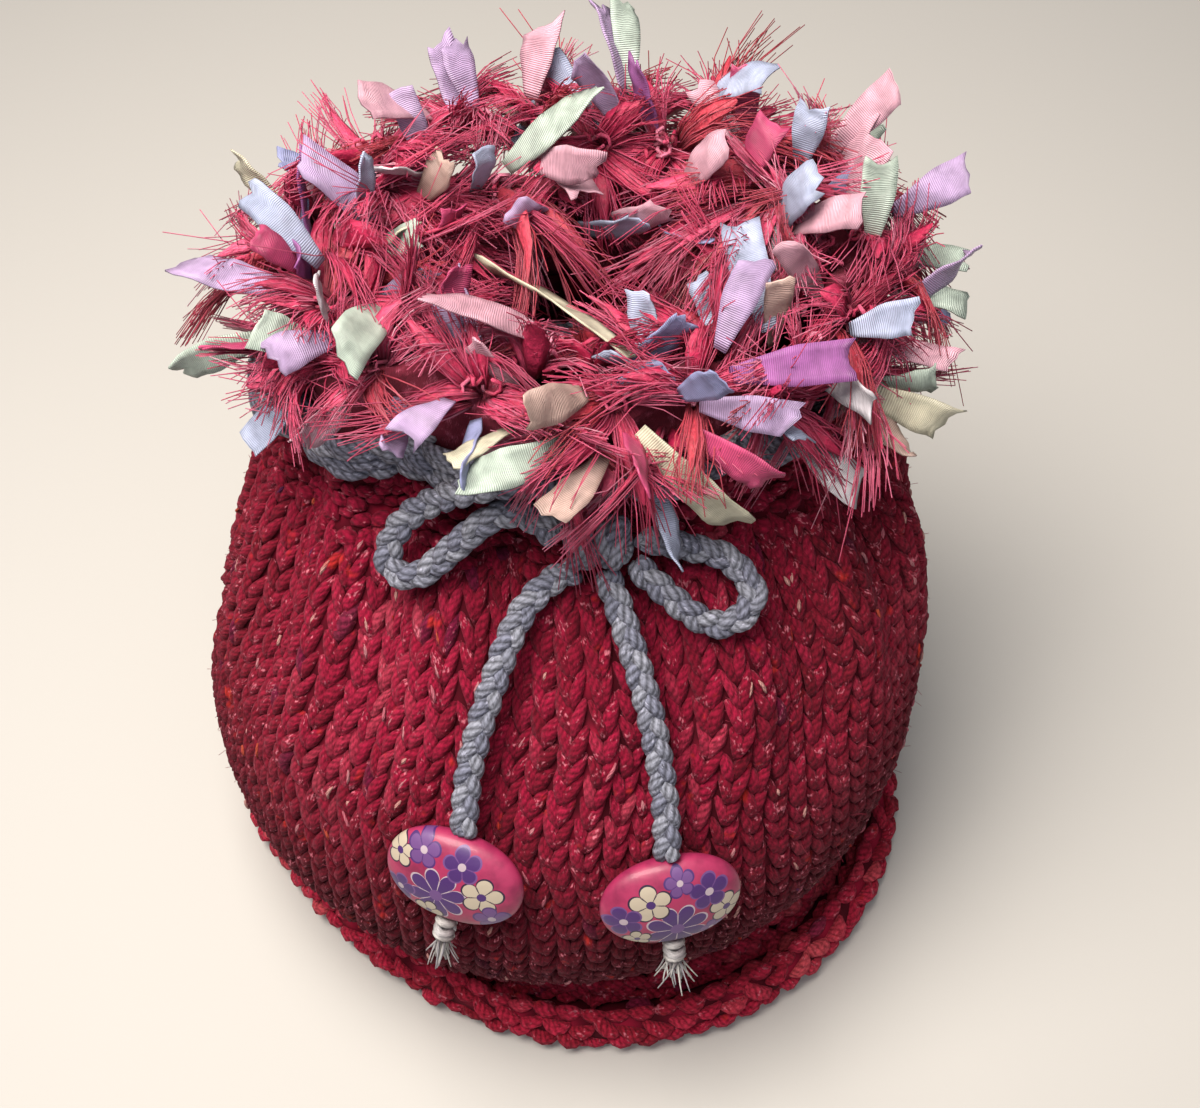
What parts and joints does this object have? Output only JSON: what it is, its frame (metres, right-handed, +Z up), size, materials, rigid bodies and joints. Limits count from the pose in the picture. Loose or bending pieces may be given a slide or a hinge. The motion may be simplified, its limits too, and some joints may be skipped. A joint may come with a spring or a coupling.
{
  "type": "tea cosy",
  "caption": "Knitted pot cover that stands on its rolled hem, open below, with side slits for a spout and a handle, a drawn-in neck, a shaggy frill and a tie with beads.",
  "frame": {"origin": "middle of the object's box, on the surface that the rolled hem rests on", "axes": "+Z up through the neck, -Y to the front with the bow, +X to the side of the handle slit"},
  "size_m": [0.1725, 0.1574, 0.1832],
  "materials": {
    "wool": "hand-knitted tweed wool, stocking stitch with a garter-stitch hem",
    "frill_yarn": "fancy ribbon and eyelash yarn, satin ribbons among fine hairs",
    "cord": "plied wool cord, matt",
    "clay": "polymer clay with a satin polish",
    "tail": "frayed yarn"
  },
  "bodies": {
    "root": {"front_panel": "wool", "back_panel": "wool", "frill": "frill_yarn", "tie_neck": "cord", "tie_knot": "cord", "tie_loop_left": "cord", "tie_loop_right": "cord", "tie_end_left": "cord", "tie_end_right": "cord", "bead_left": "clay", "bead_right": "clay", "bead_stop_left": "tail", "bead_stop_right": "tail"}
  },
  "joints": []
}
